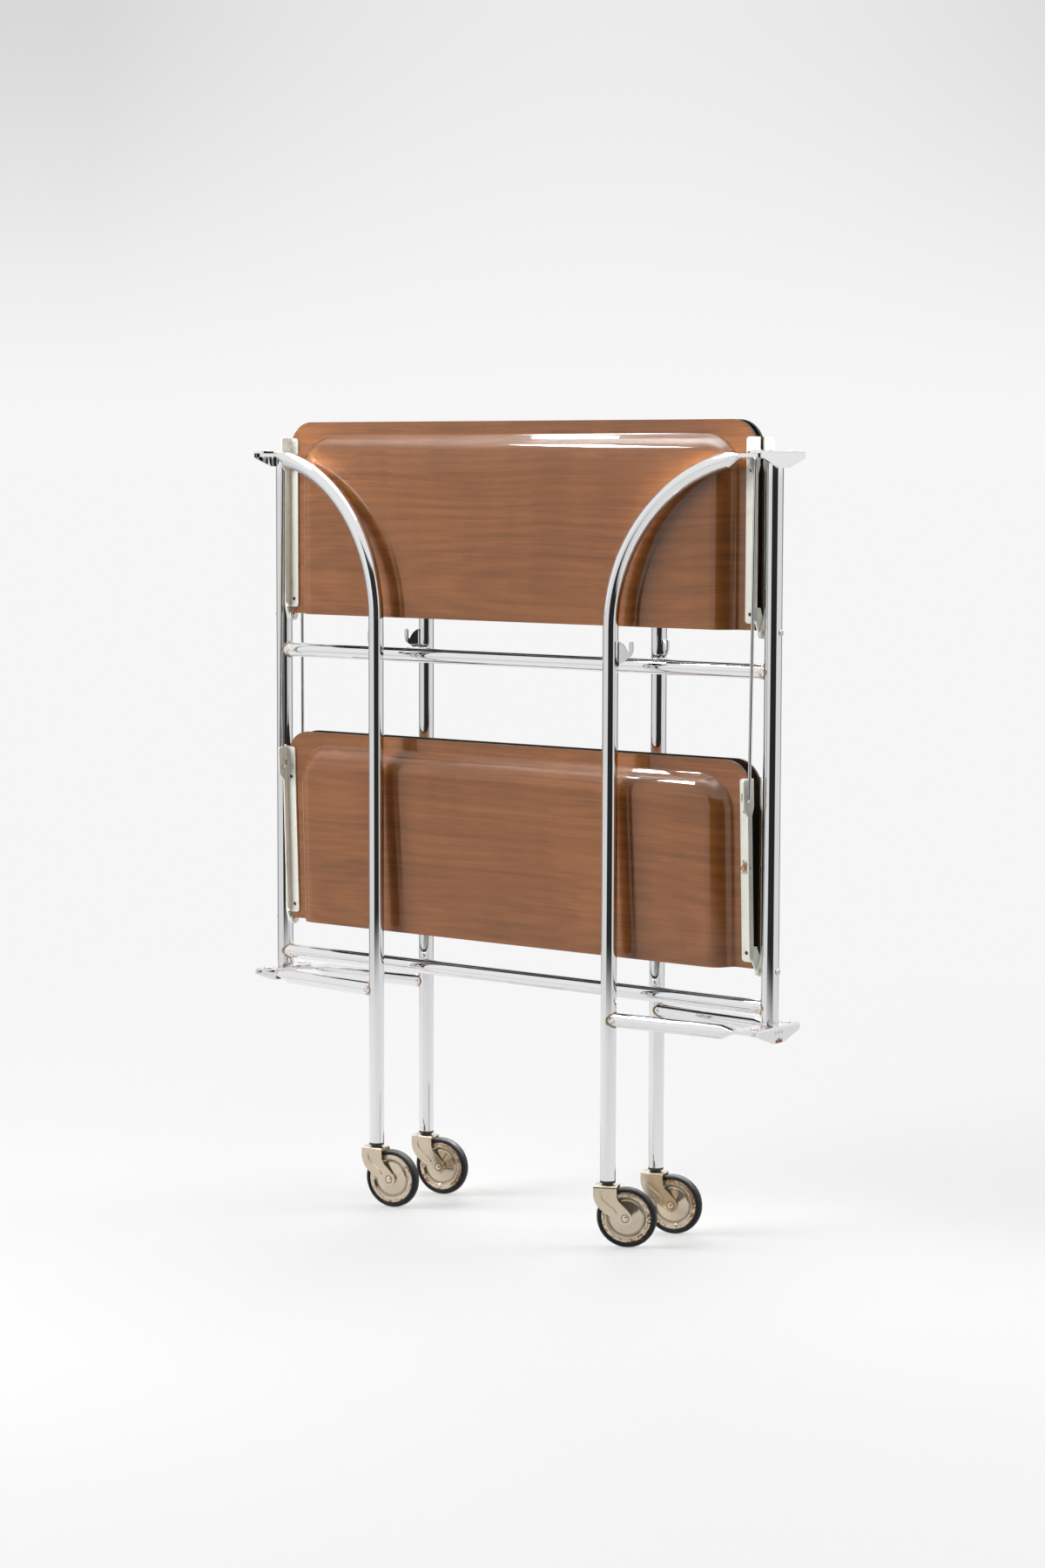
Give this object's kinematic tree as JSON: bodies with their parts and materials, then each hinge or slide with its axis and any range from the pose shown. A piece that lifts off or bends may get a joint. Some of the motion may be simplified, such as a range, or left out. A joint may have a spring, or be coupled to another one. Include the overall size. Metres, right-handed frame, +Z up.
{
  "type": "folding serving cart",
  "caption": "Folding serving cart with pressed wood-look half trays that stand upright, face to face, between hinged bent-tube legs on swivel casters.",
  "frame": {"origin": "on the floor, midway between the posts and the four folded legs", "axes": "+Z up, +X along the cart to its right end, -Y to the front shown in the picture"},
  "size_m": [0.6004, 0.1031, 0.7535],
  "materials": {
    "chrome_steel": "bright plated",
    "rivet_steel": "worn plated",
    "wood_laminate": "glossy walnut laminate",
    "painted_bar": "ivory enamel, chipped",
    "wire_steel": "drawn wire",
    "caster_steel": "worn nickel",
    "black_plastic": "matte",
    "black_rubber": "matte rubber"
  },
  "bodies": {
    "frame": {"left_post": "chrome_steel", "right_post": "chrome_steel", "upper_cross_tube": "chrome_steel", "lower_cross_tube": "chrome_steel", "top_left_bracket": "chrome_steel", "top_right_bracket": "chrome_steel", "bottom_left_bracket": "chrome_steel", "bottom_right_bracket": "chrome_steel", "pivot_rivets": "rivet_steel", "hinge_pins": "rivet_steel"},
    "upper_front_leaf": {"upper_front_tray": "wood_laminate", "upper_front_end_bars": "painted_bar", "upper_front_bar_screws": "painted_bar"},
    "upper_rear_leaf": {"upper_rear_tray": "wood_laminate", "upper_rear_end_bars": "painted_bar", "upper_rear_bar_screws": "painted_bar"},
    "lower_front_leaf": {"lower_front_tray": "wood_laminate", "lower_front_end_bars": "painted_bar", "lower_front_bar_screws": "painted_bar"},
    "lower_rear_leaf": {"lower_rear_tray": "wood_laminate", "lower_rear_end_bars": "painted_bar", "lower_rear_bar_screws": "painted_bar"},
    "front_links": {"front_link_rods": "wire_steel"},
    "rear_links": {"rear_link_rods": "wire_steel"},
    "front_left_leg_set": {"front_left_leg": "chrome_steel", "front_left_strut": "chrome_steel", "front_left_claw": "chrome_steel", "front_left_collar": "black_plastic"},
    "front_left_caster": {"front_left_fork": "caster_steel", "front_left_axle": "caster_steel"},
    "front_left_wheel_set": {"front_left_wheel": "caster_steel", "front_left_tyre": "black_rubber"},
    "front_right_leg_set": {"front_right_leg": "chrome_steel", "front_right_strut": "chrome_steel", "front_right_claw": "chrome_steel", "front_right_collar": "black_plastic"},
    "front_right_caster": {"front_right_fork": "caster_steel", "front_right_axle": "caster_steel"},
    "front_right_wheel_set": {"front_right_wheel": "caster_steel", "front_right_tyre": "black_rubber"},
    "rear_left_leg_set": {"rear_left_leg": "chrome_steel", "rear_left_strut": "chrome_steel", "rear_left_claw": "chrome_steel", "rear_left_collar": "black_plastic"},
    "rear_left_caster": {"rear_left_fork": "caster_steel", "rear_left_axle": "caster_steel"},
    "rear_left_wheel_set": {"rear_left_wheel": "caster_steel", "rear_left_tyre": "black_rubber"},
    "rear_right_leg_set": {"rear_right_leg": "chrome_steel", "rear_right_strut": "chrome_steel", "rear_right_claw": "chrome_steel", "rear_right_collar": "black_plastic"},
    "rear_right_caster": {"rear_right_fork": "caster_steel", "rear_right_axle": "caster_steel"},
    "rear_right_wheel_set": {"rear_right_wheel": "caster_steel", "rear_right_tyre": "black_rubber"}
  },
  "joints": [
    {"name": "upper_front_tray_hinge", "type": "hinge", "parent": "frame", "child": "upper_front_leaf", "pos_m": [0, 0, 0.5655], "axis": [1, 0, 0], "range_deg": [-0.85, 0]},
    {"name": "lower_front_tray_hinge", "type": "hinge", "parent": "frame", "child": "lower_front_leaf", "pos_m": [0, 0, 0.264], "axis": [1, 0, 0], "range_deg": [-0.85, 0]},
    {"name": "front_link_swing", "type": "hinge", "parent": "upper_front_leaf", "child": "front_links", "pos_m": [0, -0.014, 0.7185], "axis": [1, 0, 0], "range_deg": [0, 0.85]},
    {"name": "upper_rear_tray_hinge", "type": "hinge", "parent": "frame", "child": "upper_rear_leaf", "pos_m": [0, 0, 0.5655], "axis": [-1, 0, 0], "range_deg": [-0.85, 0]},
    {"name": "lower_rear_tray_hinge", "type": "hinge", "parent": "frame", "child": "lower_rear_leaf", "pos_m": [0, 0, 0.264], "axis": [-1, 0, 0], "range_deg": [-0.85, 0]},
    {"name": "rear_link_swing", "type": "hinge", "parent": "upper_rear_leaf", "child": "rear_links", "pos_m": [0, 0.014, 0.7185], "axis": [-1, 0, 0], "range_deg": [0, 0.85]},
    {"name": "front_left_leg_swing", "type": "hinge", "parent": "frame", "child": "front_left_leg_set", "pos_m": [-0.291, -0.0255, 0.45], "axis": [0, 0, -1], "range_deg": [0, 85]},
    {"name": "front_left_caster_swivel", "type": "hinge", "parent": "front_left_leg_set", "child": "front_left_caster", "pos_m": [-0.13897, -0.0375, 0.057], "axis": [0, 0, 1], "continuous": true},
    {"name": "front_left_wheel_spin", "type": "hinge", "parent": "front_left_caster", "child": "front_left_wheel_set", "pos_m": [-0.12125, -0.03437, 0.028], "axis": [-0.1736, 0.9848, 0], "continuous": true},
    {"name": "front_right_leg_swing", "type": "hinge", "parent": "frame", "child": "front_right_leg_set", "pos_m": [0.291, -0.0255, 0.45], "axis": [0, 0, 1], "range_deg": [0, 85]},
    {"name": "front_right_caster_swivel", "type": "hinge", "parent": "front_right_leg_set", "child": "front_right_caster", "pos_m": [0.13897, -0.0375, 0.057], "axis": [0, 0, 1], "continuous": true},
    {"name": "front_right_wheel_spin", "type": "hinge", "parent": "front_right_caster", "child": "front_right_wheel_set", "pos_m": [0.15529, -0.02989, 0.028], "axis": [-0.4226, 0.9063, 0], "continuous": true},
    {"name": "rear_left_leg_swing", "type": "hinge", "parent": "frame", "child": "rear_left_leg_set", "pos_m": [-0.291, 0.0255, 0.45], "axis": [0, 0, 1], "range_deg": [0, 85]},
    {"name": "rear_left_caster_swivel", "type": "hinge", "parent": "rear_left_leg_set", "child": "rear_left_caster", "pos_m": [-0.13897, 0.0375, 0.057], "axis": [0, 0, 1], "continuous": true},
    {"name": "rear_left_wheel_spin", "type": "hinge", "parent": "rear_left_caster", "child": "rear_left_wheel_set", "pos_m": [-0.12125, 0.04063, 0.028], "axis": [-0.1736, 0.9848, 0], "continuous": true},
    {"name": "rear_right_leg_swing", "type": "hinge", "parent": "frame", "child": "rear_right_leg_set", "pos_m": [0.291, 0.0255, 0.45], "axis": [0, 0, -1], "range_deg": [0, 85]},
    {"name": "rear_right_caster_swivel", "type": "hinge", "parent": "rear_right_leg_set", "child": "rear_right_caster", "pos_m": [0.13897, 0.0375, 0.057], "axis": [0, 0, 1], "continuous": true},
    {"name": "rear_right_wheel_spin", "type": "hinge", "parent": "rear_right_caster", "child": "rear_right_wheel_set", "pos_m": [0.15636, 0.04216, 0.028], "axis": [-0.2588, 0.9659, 0], "continuous": true}
  ],
  "couplings": [
    {"joint": "lower_front_tray_hinge", "follows": "upper_front_tray_hinge", "ratio": 1},
    {"joint": "front_link_swing", "follows": "upper_front_tray_hinge", "ratio": -1},
    {"joint": "lower_rear_tray_hinge", "follows": "upper_rear_tray_hinge", "ratio": 1},
    {"joint": "rear_link_swing", "follows": "upper_rear_tray_hinge", "ratio": -1}
  ]
}
